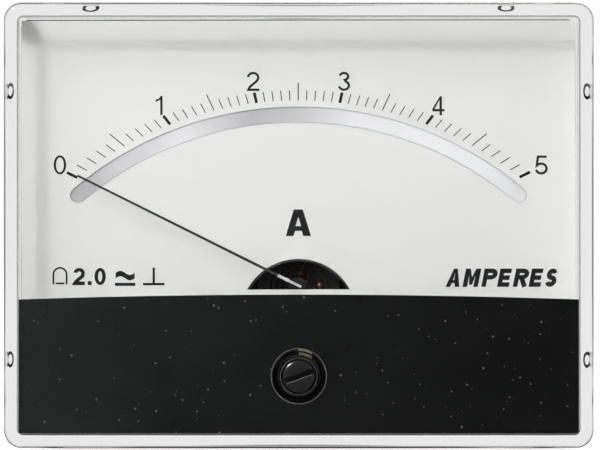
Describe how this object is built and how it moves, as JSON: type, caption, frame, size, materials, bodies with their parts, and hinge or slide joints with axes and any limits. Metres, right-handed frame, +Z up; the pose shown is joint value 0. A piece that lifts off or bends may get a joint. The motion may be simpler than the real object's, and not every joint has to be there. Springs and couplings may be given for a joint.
{
  "type": "analogue panel meter",
  "caption": "Rectangular clear-fronted analogue panel ammeter with moving-coil movement, mirror scale, zero adjuster, round rear barrel and terminal studs.",
  "frame": {"origin": "middle of the face, in the plane of the panel that the flange seats on", "axes": "+X to the right seen from the front, +Z up, the front faces -Y and the barrel runs along +Y"},
  "size_m": [0.086, 0.057, 0.065],
  "materials": {
    "clear_acrylic": "clear polished acrylic",
    "mask_black": "fine matte black",
    "case_black": "black moulded phenolic, satin",
    "dial_white": "off-white matte paint",
    "mirror": "silvered strip",
    "blackened_brass": "blackened",
    "brass": "turned brass",
    "plated_steel": "bright zinc plate",
    "soft_iron": "ground soft iron",
    "magnet": "ground magnet alloy",
    "aluminium": "bare aluminium",
    "copper_wire": "enamelled copper wire",
    "spring_bronze": "spring bronze",
    "pointer_black": "black painted aluminium",
    "ivory_nylon": "ivory nylon",
    "adjuster_black": "glossy black moulding",
    "wire_sleeve": "soft red sleeve"
  },
  "bodies": {
    "case": {"base_case": "case_black", "core_magnet": "magnet", "core_spacer_lower": "brass", "core_spacer_upper": "brass", "dial_plate": "dial_white", "dial_screw_left": "plated_steel", "dial_screw_right": "plated_steel", "front_bridge": "blackened_brass", "front_cover": "clear_acrylic", "front_jewel_screw": "blackened_brass", "front_lock_nut": "brass", "front_spacer_left": "brass", "front_spacer_right": "brass", "lead_wire_left": "wire_sleeve", "lead_wire_right": "wire_sleeve", "mask_plate": "mask_black", "mirror_strip": "mirror", "mounting_nut_lower_left": "plated_steel", "mounting_nut_lower_right": "plated_steel", "mounting_nut_upper_left": "plated_steel", "mounting_nut_upper_right": "plated_steel", "mounting_stud_lower_left": "plated_steel", "mounting_stud_lower_right": "plated_steel", "mounting_stud_upper_left": "plated_steel", "mounting_stud_upper_right": "plated_steel", "mounting_washer_lower_left": "plated_steel", "mounting_washer_lower_right": "plated_steel", "mounting_washer_upper_left": "plated_steel", "mounting_washer_upper_right": "plated_steel", "movement_screw_left": "plated_steel", "movement_screw_right": "plated_steel", "rear_abutment": "brass", "rear_bridge": "brass", "rear_hairspring": "spring_bronze", "rear_jewel_screw": "brass", "rear_lock_nut": "brass", "rear_spacer_left": "brass", "rear_spacer_right": "brass", "shunt_strip": "spring_bronze", "terminal_base_nut_left": "brass", "terminal_base_nut_right": "brass", "terminal_stud_left": "brass", "terminal_stud_right": "brass", "terminal_washer_left": "plated_steel", "terminal_washer_right": "plated_steel", "terminal_wire_nut_left": "brass", "terminal_wire_nut_right": "brass", "yoke_ring": "soft_iron"},
    "zero_adjuster": {"zero_adjuster": "adjuster_black"},
    "zero_lever": {"zero_lever": "ivory_nylon", "front_hairspring": "spring_bronze"},
    "moving_coil": {"coil_former": "aluminium", "coil_winding": "copper_wire", "front_pivot": "plated_steel", "rear_pivot": "plated_steel", "balance_cross": "aluminium", "pointer": "pointer_black", "tail_weight": "brass", "side_weight_left": "brass", "side_weight_right": "brass"}
  },
  "joints": [
    {"name": "adjuster_turn", "type": "hinge", "parent": "case", "child": "zero_adjuster", "pos_m": [0, -0.014, -0.022], "axis": [0, 1, 0], "range_deg": [-40, 40]},
    {"name": "lever_turn", "type": "hinge", "parent": "case", "child": "zero_lever", "pos_m": [0, -0.00235, -0.00913], "axis": [0, 1, 0], "range_deg": [-4, 4]},
    {"name": "pointer_swing", "type": "hinge", "parent": "zero_lever", "child": "moving_coil", "pos_m": [0, 0.0096, -0.00913], "axis": [0, 1, 0], "range_deg": [-2, 130], "stiffness_Nm_per_rad": 0.00002}
  ],
  "couplings": [
    {"joint": "lever_turn", "follows": "adjuster_turn", "ratio": -0.096}
  ]
}
